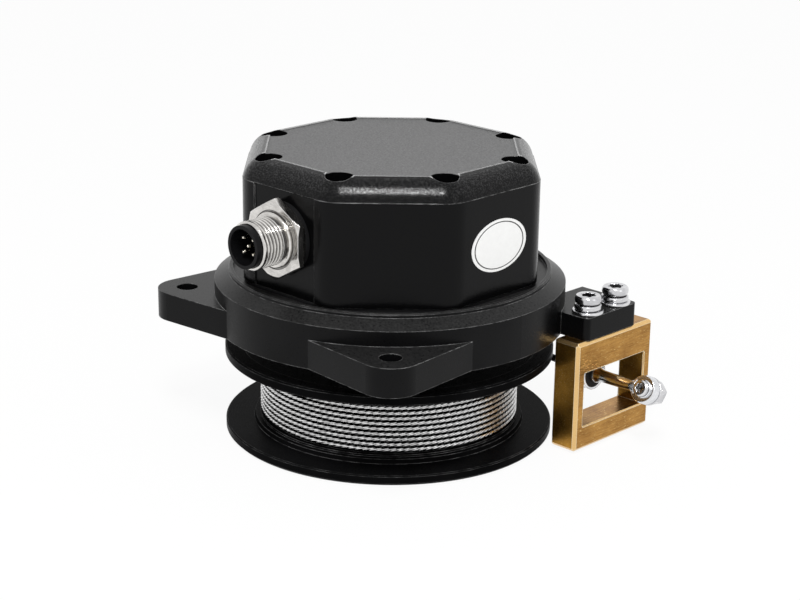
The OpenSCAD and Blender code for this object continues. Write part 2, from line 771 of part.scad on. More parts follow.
module magnet_holder() {
    color([0.75, 0.75, 0.77]) difference() {
        disc(magnet_d / 2 + 2, holder_z, holder_z + holder_h);
        translate([0, 0, holder_z - cut]) cylinder(r = shaft_d / 2 + fit, h = holder_grip + cut);
        translate([0, 0, magnet_z]) cylinder(r = magnet_d / 2 + fit, h = magnet_t + cut);
    }
}

module encoder_magnet() {
    color([0.55, 0.55, 0.57]) disc(magnet_d / 2, magnet_z, magnet_z + magnet_t);
}

module circuit_board() {
    color([0.05, 0.3, 0.12]) difference() {
        disc(board_r, board_z, board_z + board_t);
        for (a = [0:120:240]) rotate(a) translate([board_screw_ring, 0, board_z - cut])
            cylinder(r = 1.7, h = board_t + 2 * cut);
        header_spots() translate([0, 0, board_z - cut]) cylinder(r = 0.55, h = board_t + 2 * cut);
    }
}

module sensor_chip() {
    color([0.1, 0.1, 0.1]) translate([-3.2, -2.5, board_z - sensor_t]) cube([6.4, 5, sensor_t]);
}

header_pitch = 2.5;
header_w = 5.6 * header_pitch;
header_d = 2 * header_pitch;
header_h = 3.4;
header_y = -board_r + 2 * header_pitch;

// Children at each of the header's five pins
module header_spots() {
    for (i = [-2:2]) translate([i * header_pitch, header_y, 0]) children();
}

module board_header() {
    color([0.85, 0.85, 0.8]) difference() {
        translate([-header_w / 2, header_y - header_d / 2, board_z + board_t]) cube([header_w, header_d, header_h]);
        header_spots() translate([0, 0, board_z]) cylinder(r = 0.55, h = board_t + header_h + cut);
    }
}

module board_standoffs() {
    color([0.8, 0.65, 0.3]) for (a = [0:120:240]) rotate(a) translate([board_screw_ring, 0, 0]) {
        difference() {
            hexagon(5, floor_t, board_z);
            translate([0, 0, board_z - 8]) cylinder(r = 1.5 + fit, h = 8 + cut);
        }
        disc(1.5, 0.2, floor_t + eps);
    }
}

module board_screws() {
    color([0.7, 0.7, 0.72]) for (a = [0:120:240]) rotate(a)
        translate([board_screw_ring, 0, board_z + board_t]) screw(3, board_t + 5, 5.2, 2, 2.2);
}

// ---- rope guide ----

module chamfered_rect(w, h, c) {
    polygon([[c, 0], [w - c, 0], [w, c], [w, h - c], [w - c, h], [c, h], [0, h - c], [0, c]]);
}

module wire_guide() {
    low_y = rope_r - guide_w / 2;
    win_y = rope_r - window_w / 2;
    win_z = -window_drop - window_h;
    lip = 0.6;
    color([0.78, 0.6, 0.25]) difference() {
        intersection() {
            translate([guide_in_x, low_y, -guide_h]) linear_extrude(guide_h)
                chamfered_rect(guide_t, guide_w, guide_chamfer);
            translate([guide_in_x, low_y, -guide_h]) rotate([90, 0, 90]) linear_extrude(guide_t)
                chamfered_rect(guide_w, guide_h, guide_chamfer);
            translate([guide_in_x, low_y + guide_w, -guide_h]) rotate([90, 0, 0]) linear_extrude(guide_w)
                chamfered_rect(guide_t, guide_h, guide_chamfer);
        }
        translate([guide_in_x - cut, win_y, win_z]) cube([guide_t + 2 * cut, window_w, window_h]);
        // bevelled mouth of the window, on both faces
        for (side = [0, 1]) translate([side ? guide_x : guide_in_x, rope_r, win_z + window_h / 2])
            rotate([0, side ? 90 : -90, 0]) mouth_bevel(lip);
        for (y = guide_screw_ys) translate([guide_mid_x, y, -guide_screw_grip - 0.6])
            cylinder(r = guide_screw_d / 2 + fit, h = guide_screw_grip + 0.6 + cut);
    }
}

// Four-sided cutter that widens the window's edge by its depth
module mouth_bevel(depth) {
    over = 0.2;
    a = window_h / 2;
    b = window_w / 2;
    d = depth + over;
    for (s = [-1, 1]) {
        translate([s * a, 0, over]) rotate([0, s * 45, 0])
            translate([-d * 0.5, -b, -d * 1.2]) cube([d, window_w, d * 1.2]);
        translate([0, s * b, over]) rotate([-s * 45, 0, 0])
            translate([-a, -d * 0.5, -d * 1.2]) cube([window_h, d, d * 1.2]);
    }
}

module guide_flat_washers() {
    color([0.8, 0.8, 0.82]) for (y = guide_screw_ys) translate([guide_mid_x, y, 0])
        disc(flat_washer_d / 2, lug_t, lug_t + flat_washer_t, guide_screw_d / 2 + 0.15);
}

module guide_spring_washers() {
    z = lug_t + flat_washer_t;
    color([0.8, 0.8, 0.82]) for (y = guide_screw_ys) translate([guide_mid_x, y, 0]) difference() {
        disc(spring_washer_d / 2, z, z + spring_washer_t, guide_screw_d / 2 + 0.1);
        rotate(-70) translate([0, -0.3, z - cut]) cube([spring_washer_d, 0.6, spring_washer_t + 2 * cut]);
    }
}

module guide_screws() {
    seat = lug_t + flat_washer_t + spring_washer_t;
    color([0.8, 0.8, 0.82]) for (y = guide_screw_ys) translate([guide_mid_x, y, seat])
        pan_screw(guide_screw_d, seat + guide_screw_grip, guide_head_d, guide_head_h, 3.6);
}

// ---- rope lead and rope end ----

lead_start_x = sqrt(pow(rope_r + rope_d / 2 + run_gap, 2) - pow(rope_r - rope_d / 2, 2));
sleeve_x = bumper_x - sleeve_len;
lead_end_x = sleeve_x - run_gap;
lead_fall = first_turn_z - pull_z;
lead_angle = atan(lead_fall / bumper_x);

// Children with +Z along the rope from the spool to the bumper, starting x along the pull
module on_lead(x) {
    translate([x, rope_r, first_turn_z - x * tan(lead_angle)]) rotate([0, 90 + lead_angle, 0]) children();
}

module rope_lead() {
    color([0.75, 0.76, 0.78]) on_lead(lead_start_x)
        cylinder(r = rope_d / 2, h = (lead_end_x - lead_start_x) / cos(lead_angle));
}

module rope_sleeve() {
    color([0.05, 0.05, 0.05]) intersection() {
        on_lead(sleeve_x) disc(sleeve_d / 2, 0, sleeve_len + 2);
        translate([0, 0, 2 * pull_z]) cube([bumper_x, 2 * rope_r, -2 * pull_z]);
    }
}

module rubber_bumper() {
    color([0.06, 0.06, 0.07]) on_pull_line(bumper_x) rotate_extrude() polygon([
        [0, 0], [bumper_d / 2 - 1, 0], [bumper_d / 2, 1], [bumper_d / 2, bumper_t],
        [bumper_d / 2 - cup_rim, bumper_t], [bumper_d / 2 - cup_rim, bumper_t + cup_t],
        [0, bumper_t + cup_t]]);
}

module bumper_cup() {
    color([0.82, 0.82, 0.84]) on_pull_line(bumper_x + bumper_t)
        disc(bumper_d / 2, 0, cup_t, bumper_d / 2 - cup_rim);
}

module end_fitting() {
    foot = bumper_t + cup_t;
    neck = foot + 3;
    color([0.82, 0.82, 0.84]) difference() {
        union() {
            on_pull_line(bumper_x) rotate_extrude() polygon([
                [0, foot], [rod_foot_d / 2, foot], [rod_foot_d / 2, foot + 1.4],
                [rod_d / 2 + 0.1, neck + 1], [rod_d / 2, neck + 2],
                [rod_d / 2, eye_reach - eye_d / 2 + 0.5], [0, eye_reach - eye_d / 2 + 0.5]]);
            at_eye() disc(eye_d / 2, -eye_t / 2, eye_t / 2);
        }
        at_eye() disc(eye_screw_d / 2 + 0.1, -eye_t, eye_t);
    }
}

// Children with +Z pointing out of the eye on the screw head's side
module at_eye() {
    translate([bumper_x + eye_reach, rope_r, pull_z]) rotate([90 - eye_turn, 0, 0]) children();
}

eye_washer_t = 0.6;
eye_ring_t = 0.8;
eye_nut_t = 2.4;

module eye_screw() {
    color([0.85, 0.85, 0.87]) at_eye() translate([0, 0, eye_t / 2])
        pan_screw(eye_screw_d, eye_t + eye_washer_t + eye_ring_t + eye_nut_t + 0.8, eye_head_d, eye_head_h, 3);
}

module eye_washers() {
    back = -eye_t / 2;
    color([0.85, 0.85, 0.87]) at_eye() {
        disc(eye_d / 2, back - eye_washer_t, back, eye_screw_d / 2 + 0.1);
        disc(eye_d / 2 - 0.4, back - eye_washer_t - eye_ring_t, back - eye_washer_t - eps, eye_screw_d / 2 + 0.1);
    }
}

module eye_nut() {
    back = -eye_t / 2 - eye_washer_t - eye_ring_t - eps;
    color([0.85, 0.85, 0.87]) at_eye() difference() {
        hexagon(5.5, back - eye_nut_t, back);
        translate([0, 0, back - eye_nut_t - cut]) cylinder(r = eye_screw_d / 2 + fit, h = eye_nut_t + 2 * cut);
    }
}

base_flange();
cover();
cover_gasket();
cover_screws();
oval_label();
connector_shell();
connector_insert();
connector_contacts();
connector_seal();
connector_nut();
bearing_outer_rings();
bearing_inner_rings();
bearing_balls();
bearing_cages();
main_shaft();
shaft_circlip();
shaft_seal();
spring_arbor();
arbor_screws();
power_spring();
spool();
spool_top_flange();
spool_screws();
hub_washer();
hub_screw();
rope_windings();
magnet_holder();
encoder_magnet();
circuit_board();
sensor_chip();
board_header();
board_standoffs();
board_screws();
wire_guide();
guide_flat_washers();
guide_spring_washers();
guide_screws();
rope_lead();
rope_sleeve();
rubber_bumper();
bumper_cup();
end_fitting();
eye_screw();
eye_washers();
eye_nut();
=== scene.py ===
"""Looks of the draw wire encoder: materials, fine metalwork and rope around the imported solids."""

import json
import math

import bpy
import numpy as np
from mathutils import Matrix, Vector


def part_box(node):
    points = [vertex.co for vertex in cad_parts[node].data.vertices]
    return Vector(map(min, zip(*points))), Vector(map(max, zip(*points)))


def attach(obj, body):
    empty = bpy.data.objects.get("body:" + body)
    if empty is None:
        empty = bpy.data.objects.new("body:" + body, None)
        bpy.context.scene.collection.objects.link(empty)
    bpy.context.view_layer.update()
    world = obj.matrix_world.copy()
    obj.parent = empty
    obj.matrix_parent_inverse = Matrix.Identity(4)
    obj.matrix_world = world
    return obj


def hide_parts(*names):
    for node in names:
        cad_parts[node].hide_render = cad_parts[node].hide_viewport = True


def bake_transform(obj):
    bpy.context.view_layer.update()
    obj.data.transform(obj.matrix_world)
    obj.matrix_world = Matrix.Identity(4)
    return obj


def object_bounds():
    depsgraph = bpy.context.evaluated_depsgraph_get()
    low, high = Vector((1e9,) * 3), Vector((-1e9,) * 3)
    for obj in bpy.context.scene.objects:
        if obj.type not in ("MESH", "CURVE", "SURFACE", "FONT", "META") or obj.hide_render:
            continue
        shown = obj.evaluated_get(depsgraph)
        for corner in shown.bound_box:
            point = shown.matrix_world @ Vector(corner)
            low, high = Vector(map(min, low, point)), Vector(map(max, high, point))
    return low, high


MM = 0.001
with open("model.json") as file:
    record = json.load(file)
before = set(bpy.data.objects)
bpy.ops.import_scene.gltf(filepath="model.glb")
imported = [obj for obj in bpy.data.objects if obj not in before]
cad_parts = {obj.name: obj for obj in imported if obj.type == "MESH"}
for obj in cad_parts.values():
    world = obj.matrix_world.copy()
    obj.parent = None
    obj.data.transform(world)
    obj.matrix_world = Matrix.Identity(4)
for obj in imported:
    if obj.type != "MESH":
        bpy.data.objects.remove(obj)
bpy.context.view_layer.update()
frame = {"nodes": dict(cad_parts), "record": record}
NODES = frame["nodes"]


# ---------------------------------------------------------------- shader maths

class Value:
    """One socket of a material, with arithmetic that adds Math nodes."""

    def __init__(self, paint, link):
        self.paint = paint
        self.link = link

    def _math(self, operation, *others):
        return self.paint.add("ShaderNodeMath", {"operation": operation}, [self, *others])

    def __add__(self, other):
        return self._math("ADD", other)

    def __sub__(self, other):
        return self._math("SUBTRACT", other)

    def __rsub__(self, other):
        return self.paint.add("ShaderNodeMath", {"operation": "SUBTRACT"}, [other, self])

    def __mul__(self, other):
        return self._math("MULTIPLY", other)

    def __truediv__(self, other):
        return self._math("DIVIDE", other)

    def __pow__(self, other):
        return self._math("POWER", other)

    def over(self, limit):
        """1 where the value is above the limit, else 0."""
        return self._math("GREATER_THAN", limit)

    def under(self, limit):
        """1 where the value is below the limit, else 0."""
        return self._math("LESS_THAN", limit)

    def magnitude(self):
        """The value without its sign."""
        return self._math("ABSOLUTE")

    def sine(self):
        """Sine of the value in radians."""
        return self._math("SINE")


class Paint:
    """A material being mixed: its nodes are added one by one, from their inputs up."""

    def __init__(self, name):
        self.material = bpy.data.materials.new(name)
        self.material.use_nodes = True
        self.nodes = self.material.node_tree.nodes
        self.links = self.material.node_tree.links
        self.shader = self.nodes["Principled BSDF"]

    def add(self, kind, settings=None, inputs=None, out=0):
        """Adds a node, sets its settings, then fills its sockets with numbers or links."""
        node = self.nodes.new(kind)
        for key, value in (settings or {}).items():
            if key == "ramp":
                self._set_ramp(node.color_ramp, value)
            else:
                setattr(node, key, value)
        pairs = inputs.items() if isinstance(inputs, dict) else enumerate(inputs or [])
        for key, value in pairs:
            if isinstance(value, Value):
                self.links.new(value.link, node.inputs[key])
            else:
                node.inputs[key].default_value = value
        return Value(self, node.outputs[out])

    @staticmethod
    def _set_ramp(ramp, stops):
        while len(ramp.elements) < len(stops):
            ramp.elements.new(1.0)
        for element, (at, grey) in zip(ramp.elements, stops):
            element.position = at
            element.color = (grey, grey, grey, 1.0)

    def place(self):
        """Position on the piece, in metres."""
        return self.add("ShaderNodeTexCoord", out="Object")

    def facing(self):
        """Direction that the true surface faces."""
        return self.add("ShaderNodeNewGeometry", out=1)

    def axes(self, vector):
        """The x, y and z of a vector."""
        split = self.add("ShaderNodeSeparateXYZ", None, [vector])
        return [Value(self, split.link.node.outputs[i]) for i in range(3)]

    def stretched(self, scale, turn):
        """Position turned, then scaled along each axis."""
        return self.add("ShaderNodeMapping", None,
                        {"Vector": self.place(), "Rotation": turn, "Scale": scale})

    def noise(self, scale, detail=2.0, rough=0.5, place=None):
        """Noise from 0 to 1; scale says how many blobs lie in a metre."""
        return self.add("ShaderNodeTexNoise", None,
                        {"Vector": place or self.place(), "Scale": scale, "Detail": detail,
                         "Roughness": rough})

    def steps(self, value, *stops):
        """value run through a grey ramp of (position, grey) stops."""
        return self.add("ShaderNodeValToRGB", {"ramp": stops}, [value])

    def mixed(self, factor, first, second):
        """A colour between two others."""
        node = self.nodes.new("ShaderNodeMix")
        node.data_type = "RGBA"
        for name, value in (("Factor_Float", factor), ("A_Color", first), ("B_Color", second)):
            socket = next(s for s in node.inputs if s.identifier == name)
            if isinstance(value, Value):
                self.links.new(value.link, socket)
            else:
                socket.default_value = value if name == "Factor_Float" else (*value, 1.0)
        return Value(self, next(s for s in node.outputs if s.identifier == "Result_Color"))

    def relief(self, height, depth, strength=1.0, edge=0.0):
        """Bump of that depth in metres, over edges softened by a small radius."""
        sockets = {"Height": height, "Distance": depth, "Strength": strength}
        if edge:
            sockets["Normal"] = self.softened(edge)
        return self.add("ShaderNodeBump", None, sockets)

    def softened(self, radius):
        """Direction that the surface faces, rounded over edges within a radius."""
        return self.add("ShaderNodeBevel", {"samples": 6}, {"Radius": radius})

    def grime(self):
        """0 where no shade is painted and 1 where a piece sets its points in full painted shade."""
        return self.add("ShaderNodeAttribute", {"attribute_name": "grime"}, out=2)

    def edge_wear_and_highlight(self, radius, low=0.02, high=0.16):
        """1 where an edge is nearer than the radius, by how far the softened direction leans; such edges are
        painted paler, partly as wear and partly as painted highlight.
        """
        lean = self.add("ShaderNodeVectorMath", {"operation": "DOT_PRODUCT"},
                        [self.softened(radius), self.facing()], out=1)
        return self.steps(1.0 - lean, (low, 0.0), (high, 1.0))

    def patchy(self, least):
        """Patches along an edge, from least to 1, that break up the paler edges: partly wear, partly painted
        highlight.
        """
        return self.steps(self.noise(420, 3.0), (0.38, least), (0.66, 1.0))

    def finish(self, **sockets):
        """Sets the shader's sockets: numbers and colours stand on the socket itself."""
        for key, value in sockets.items():
            socket = self.shader.inputs[key.replace("_", " ")]
            if isinstance(value, Value):
                self.links.new(value.link, socket)
            elif isinstance(value, tuple) and len(value) == 3:
                socket.default_value = (*value, 1.0)
            else:
                socket.default_value = value
        return self.material


# ---------------------------------------------------------------- finishes

BLACK = (0.0022, 0.0022, 0.0024)
BLACK_PALER = (0.0045, 0.0045, 0.0048)
# Paler grey of edges: partly worn paint, partly a painted highlight.
EDGE_WEAR_AND_HIGHLIGHT_GREY = (0.30, 0.30, 0.30)


def grey(tone):
    """A colour with three equal parts."""
    return (tone, tone, tone)


def scaled(colour, share, limit=1.0):
    """A colour made darker or paler, up to a limit."""
    return tuple(min(limit, part * share) for part in colour)


def black_coat(name, worn_and_lit_edges, grain_scale, rough, edge=0.0003, lines=None, gloss=0.10, painted_top_light=0.0):
    """Satin black with a fine grain, slow clouding, edges painted paler and painted light on what faces up.

    worn_and_lit_edges is how far an edge is painted paler, partly as wear and partly as painted highlight,
    and edge its width in metres, rough the range of roughness, gloss the strength of reflections,
    painted_top_light the grey of the light painted on what faces up and lines a relief added to the grain."""
    paint = Paint(name)
    grain = paint.noise(grain_scale, 3.0, 0.6)
    cloud = paint.noise(60, 2.0)
    colour = paint.mixed(paint.steps(cloud, (0.35, 0.0), (0.7, 1.0)), BLACK, BLACK_PALER)
    # Paler where the surface faces up: painted light from above.
    if painted_top_light:
        facing_up = paint.axes(paint.facing())[2]
        top_light_mask = (paint.steps(facing_up, (0.3, 0.0), (0.65, 1.0))
                   * paint.steps(grain, (0.35, 0.2), (0.65, 1.0)))
        colour = paint.mixed(top_light_mask, colour, grey(painted_top_light))
    # Edges painted paler: partly worn paint, partly a painted highlight.
    edge_wear_and_highlight = paint.edge_wear_and_highlight(edge) * paint.patchy(0.15)
    colour = paint.mixed(edge_wear_and_highlight * worn_and_lit_edges, colour, EDGE_WEAR_AND_HIGHLIGHT_GREY)
    height = grain + lines(paint) if lines else grain
    return paint.finish(Base_Color=colour,
                        Roughness=paint.steps(grain, (0.3, rough[0]), (0.7, rough[1])),
                        Specular_IOR_Level=gloss,
                        Normal=paint.relief(height, 0.00002, 0.6, edge))


def cover_black(top_z):
    """Satin black moulding, with a rougher, finely grained field sunk in the roof, painted a lighter grey and
    speckled with painted glints as a painted reflection of the lamps and room.

    The field is what faces straight up just under the top, the crest the sharp edge round it, painted pale
    as a highlight line, and the rim the curve outside it, where a broken clear coat catches the light."""
    paint = Paint("black cover")
    z = paint.axes(paint.place())[2]
    facing_up = paint.axes(paint.facing())[2]
    grain = paint.noise(1700, 3.0, 0.7)
    cloud = paint.noise(45, 2.0)
    speckle = paint.noise(2400, 2.0, 0.8)
    field_low, field_high, crest_low, rim_low = (top_z - drop for drop in (0.0012, 0.0002, 0.0003, 0.0065))
    field = z.over(field_low) * z.under(field_high) * facing_up.over(0.995)
    crest = paint.edge_wear_and_highlight(0.0010, 0.01, 0.08) * z.over(crest_low)
    rim = z.over(rim_low) * paint.steps(facing_up, (0.15, 0.0), (0.5, 1.0)) * facing_up.under(0.95)
    painted_glints = paint.steps(speckle, (0.35, 0.0), (0.75, 1.0))
    # The field's lighter grey is a painted reflection of the lamps and room on its rough texture.
    colour = paint.mixed(field, BLACK, (0.076, 0.076, 0.077))
    # Painted glints speckle the field.
    colour = paint.mixed(field * painted_glints, colour, grey(0.185))
    # Edges painted paler: partly worn paint, partly a painted highlight.
    colour = paint.mixed(paint.edge_wear_and_highlight(0.0003, 0.05, 0.3) * paint.patchy(0.1), colour, EDGE_WEAR_AND_HIGHLIGHT_GREY)
    # Painted highlight line along the crest round the field.
    colour = paint.mixed(crest, colour, grey(0.50))
    return paint.finish(Base_Color=colour,
                        Roughness=paint.steps(grain, (0.3, 0.13), (0.7, 0.23)) + field * 0.26 + cloud * 0.05,
                        Specular_IOR_Level=0.11,
                        Coat_Weight=rim * paint.steps(speckle, (0.48, 0.0), (0.62, 0.7)),
                        Coat_Roughness=0.24,
                        Normal=paint.relief(grain, 0.00006, 0.6, 0.0003))


def lathe_lines(paint):
    """Fine rings left by turning, round the z axis: a sine of the distance from it plus the height."""
    per_metre = 9000.0
    x, y, z = paint.axes(paint.place())
    away = (x * x + y * y) ** 0.5
    return (away * per_metre + z * per_metre).sine() * 0.4


def bright_metal(name, pale, dark, rough):
    """Plated or ground metal: clouded tone, hairline scratches, edges painted paler, partly as wear and
    partly as painted highlight, and painted shade where a piece sets it.
    """
    edge = 0.0002
    paint = Paint(name)
    cloud = paint.noise(260, 3.0, 0.6)
    hair = paint.noise(1.0, 3.0, 0.6, paint.stretched((600, 600, 12000), (0.4, 0.7, 0.0)))
    tone = paint.mixed(paint.steps(cloud * 0.6 + hair * 0.4, (0.38, 0.0), (0.62, 1.0)), dark, pale)
    # Edges painted paler: partly wear, partly a painted highlight.
    tone = paint.mixed(paint.edge_wear_and_highlight(edge), tone, scaled(pale, 1.25, 0.95))
    # Painted shade: near black in the valleys and recesses that a piece sets.
    tone = paint.mixed(paint.grime() * 0.9, tone, (0.03, 0.028, 0.026))
    return paint.finish(Base_Color=tone, Metallic=1.0,
                        Roughness=paint.steps(cloud, (0.3, rough - 0.05), (0.7, rough + 0.08)),
                        Normal=paint.relief(hair, 0.000004, 0.4, edge))


def milled_brass():
    """Brass bar: broad faces milled bright, end faces in a tone of their own that paints the light on that
    side, nicks, and chamfers and edges painted pale as highlights, the edges partly worn too.

    The end faces look along y; a chamfer is what looks along none of the axes."""
    aligned = 0.9
    paint = Paint("milled brass")
    streak = paint.noise(1.0, 4.0, 0.65, paint.stretched((9000, 170, 9000), (0.12, 0.0, 0.0)))
    blotch = paint.noise(170, 3.0, 0.6)
    scars = paint.noise(1.0, 2.0, 0.5, paint.stretched((2600, 900, 4200), (0.5, 0.2, 0.9)))
    nicks = paint.steps(scars, (0.64, 0.0), (0.70, 1.0))
    tone = paint.steps(streak * 0.6 + blotch * 0.4, (0.36, 0.0), (0.64, 1.0))
    along_x, along_y, along_z = (part.magnitude() for part in paint.axes(paint.facing()))
    chamfer = along_x.under(aligned) * along_y.under(aligned) * along_z.under(aligned)
    broad = paint.mixed(tone, (0.25, 0.110, 0.020), (0.55, 0.295, 0.075))
    # The end faces get their own tone: painted light for that side.
    painted_side_tone = paint.mixed(tone, (0.19, 0.088, 0.012), (0.60, 0.31, 0.055))
    colour = paint.mixed(along_y.over(aligned), broad, painted_side_tone)
    colour = paint.mixed(nicks * 0.7, colour, (0.80, 0.56, 0.22))
    # Chamfers painted pale: a painted highlight.
    colour = paint.mixed(chamfer * 0.7, colour, (0.96, 0.66, 0.30))
    # Edges painted paler: a painted highlight, partly wear.
    colour = paint.mixed(paint.edge_wear_and_highlight(0.00022, 0.008, 0.06), colour, (1.0, 0.88, 0.62))
    return paint.finish(Base_Color=colour, Metallic=1.0,
                        Roughness=paint.steps(streak, (0.3, 0.24), (0.7, 0.40)),
                        Normal=paint.relief(streak + blotch * 0.3, 0.000014, 0.6, 0.0002))


def laid_wire():
    """Drawn steel wire: bright on the crowns of the strands, with painted shade darkening the valleys between
    them.
    """
    paint = Paint("rope wire")
    cloud = paint.noise(900, 3.0, 0.7)
    colour = paint.mixed(paint.steps(cloud, (0.42, 0.0), (0.7, 1.0)), grey(0.90), grey(0.50))
    # Painted shade: near black in the valleys and on the sheltered side.
    colour = paint.mixed(paint.steps(paint.grime(), (0.15, 0.0), (0.8, 1.0)), colour,
                         (0.012, 0.011, 0.010))
    return paint.finish(Base_Color=colour, Metallic=1.0,
                        Roughness=paint.steps(cloud, (0.3, 0.2), (0.7, 0.36)),
                        Normal=paint.relief(cloud, 0.00001, 0.4))


def rubber():
    """Dull black rubber with a fine grain."""
    colour = (0.008, 0.008, 0.0085)
    paint = Paint("black rubber")
    grain = paint.noise(2400, 2.0)
    return paint.finish(Base_Color=paint.mixed(grain, colour, scaled(colour, 1.6)),
                        Roughness=paint.steps(grain, (0.3, 0.42), (0.7, 0.55)),
                        Specular_IOR_Level=0.12,
                        Normal=paint.relief(grain, 0.00001, 0.5, 0.0002))


def plain_plastic(name, colour, rough, gloss=0.5):
    """Moulded plastic or enamel with slight clouding."""
    paint = Paint(name)
    grain = paint.noise(900, 2.0)
    return paint.finish(Base_Color=paint.mixed(grain, scaled(colour, 0.88), colour),
                        Roughness=paint.steps(grain, (0.3, rough - 0.05), (0.7, rough + 0.05)),
                        Specular_IOR_Level=gloss,
                        Normal=paint.relief(grain, 0.000005, 0.4, 0.0001))


def label_film(low, high):
    """White film with one thin dark oval line near its edge.

    The line is where ((y - middle) / half width)^2 + ((z - middle) / half height)^2 lies between the
    squares of its inside and its outside."""
    inside, outside = 0.865, 0.905
    paint = Paint("label film")
    across, up = ((place - (low[k] + high[k]) / 2) / ((high[k] - low[k]) / 2)
                  for k, place in enumerate(paint.axes(paint.place())) if k > 0)
    reach = (across * across + up * up) ** 0.5
    line = reach.over(inside) * reach.under(outside)
    fleck = paint.noise(700, 2.0)
    tone = paint.mixed(fleck, (0.80, 0.80, 0.79), (0.88, 0.88, 0.87))
    return paint.finish(Base_Color=paint.mixed(line, tone, grey(0.02)),
                        Roughness=paint.steps(fleck, (0.3, 0.34), (0.7, 0.42)),
                        Normal=paint.relief(fleck, 0.000004, 0.4))


FINISHES = {
    "black_cast": black_coat("black casting", 1.0, 2000, (0.26, 0.38), painted_top_light=0.022),
    "black_cover": cover_black(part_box("cover")[1][2]),
    "black_rubber": rubber(),
    "white_label": label_film(*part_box("oval_label")),
    "nickel": bright_metal("nickel plate", (0.82, 0.80, 0.77), (0.50, 0.485, 0.465), 0.13),
    "black_insert": plain_plastic("black plastic", (0.005, 0.005, 0.0055), 0.34, 0.1),
    "gold_contacts": bright_metal("pin plate", (0.88, 0.84, 0.74), (0.78, 0.72, 0.58), 0.16),
    "zinc_screws": bright_metal("zinc plate", (0.74, 0.74, 0.75), (0.50, 0.50, 0.52), 0.14),
    "polished_steel": bright_metal("polished steel", (0.82, 0.83, 0.85), (0.60, 0.61, 0.63), 0.15),
    "bearing_steel": bright_metal("ground steel", grey(0.66), (0.48, 0.48, 0.49), 0.2),
    "cage_brass": bright_metal("pressed brass", (0.72, 0.54, 0.28), (0.55, 0.38, 0.17), 0.25),
    "spring_steel": bright_metal("blued strip", (0.34, 0.36, 0.40), (0.18, 0.19, 0.23), 0.3),
    "black_spool": black_coat("black turning", 0.8, 2200, (0.25, 0.36), edge=0.00025,
                              lines=lathe_lines, gloss=0.008),
    "rope_steel": laid_wire(),
    "holder_metal": bright_metal("turned aluminium", (0.75, 0.75, 0.76), (0.60, 0.60, 0.61), 0.25),
    "magnet": bright_metal("magnet plate", (0.5, 0.5, 0.52), (0.4, 0.4, 0.42), 0.25),
    "board_green": plain_plastic("board enamel", (0.03, 0.18, 0.08), 0.35),
    "header_plastic": plain_plastic("pale plastic", (0.75, 0.72, 0.62), 0.45),
    "guide_brass": milled_brass(),
}

for part in frame["record"]["subparts"]:
    mesh = NODES[part["node"]].data
    mesh.materials.clear()
    mesh.materials.append(FINISHES[part["material_slot"]])


# ---------------------------------------------------------------- surfaces

def rounds(count):
    """count even angles round a circle."""
    return np.arange(count) * (2 * np.pi / count)


def polar(rows, count=96):
    """Rows round the z axis: each row is (radius, height), and column j lies at the angle 2 pi j / count.

    A radius is one number, or one for each column."""
    angle = rounds(count)
    grid = np.empty((len(rows), count, 3))
    for i, (radius, height) in enumerate(rows):
        grid[i, :, 0] = radius * np.cos(angle)
        grid[i, :, 1] = radius * np.sin(angle)
        grid[i, :, 2] = height
    return grid


def aimed(grid, origin, axis, spin_deg=0.0):
    """The grid spun about z, then turned until z lies along axis, then moved to its origin."""
    turn = (Vector((0, 0, 1)).rotation_difference(Vector(axis)).to_matrix()
            @ Matrix.Rotation(math.radians(spin_deg), 3, "Z"))
    return np.asarray(grid) @ np.array(turn).T + np.asarray(origin)


def shell_faces(rows, columns, ring):
    """Quads of a grid whose columns wrap round, and the triangles that close it.

    The rows wrap too if ring is set; else each end closes on a pole, a point that follows the grid's."""
    i, j = np.meshgrid(np.arange(rows if ring else rows - 1), np.arange(columns), indexing="ij")
    beside = (j + 1) % columns
    row, next_row = i * columns, (i + 1) % rows * columns
    quads = np.stack([row + j, row + beside, next_row + beside, next_row + j], -1).reshape(-1, 4)
    if ring:
        return quads, np.empty((0, 3), int)
    j = np.arange(columns)
    beside = (j + 1) % columns
    last = (rows - 1) * columns
    first_pole, last_pole = rows * columns, rows * columns + 1
    fans = np.concatenate([
        np.stack([np.full(columns, first_pole), beside, j], -1),
        np.stack([np.full(columns, last_pole), last + j, last + beside], -1)])
    return quads, fans


def signed_volume(points, quads, fans):
    """Volume inside a closed shell, negative if its faces point inwards.

    It is the sum of a . (b x c) / 6 over the shell's triangles a, b, c."""
    triangles = np.concatenate([quads[:, [0, 1, 2]], quads[:, [0, 2, 3]], fans])
    a, b, c = (points[triangles[:, k]] for k in range(3))
    return np.einsum("ij,ij->", a, np.cross(b, c)) / 6.0


def piece(name, shells, finish, body, replaced=(), sharp_deg=30):
    """One object from closed shells, each (grid in millimetres, ring or not).

    It rides on the body if there is one, and takes the place of the replaced nodes."""
    points, faces, count = [], [], 0
    for grid, ring in shells:
        rows, columns, _ = grid.shape
        flat = grid.reshape(-1, 3)
        if not ring:
            flat = np.concatenate([flat, grid[:1].mean(1), grid[-1:].mean(1)])
        quads, fans = shell_faces(rows, columns, ring)
        if signed_volume(flat, quads, fans) < 0:
            quads, fans = quads[:, ::-1], fans[:, ::-1]
        faces += (quads + count).tolist() + (fans + count).tolist()
        points.append(flat)
        count += len(flat)
    mesh = bpy.data.meshes.new(name)
    mesh.from_pydata(np.concatenate(points) * MM, [], faces)
    mesh.polygons.foreach_set("use_smooth", np.ones(len(mesh.polygons), bool))
    mesh.set_sharp_from_angle(angle=math.radians(sharp_deg))
    mesh.update()
    item = bpy.data.objects.new(name, mesh)
    bpy.context.scene.collection.objects.link(item)
    mesh.materials.append(FINISHES[finish])
    if body:
        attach(item, body)
    if replaced:
        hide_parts(*replaced)
    return item


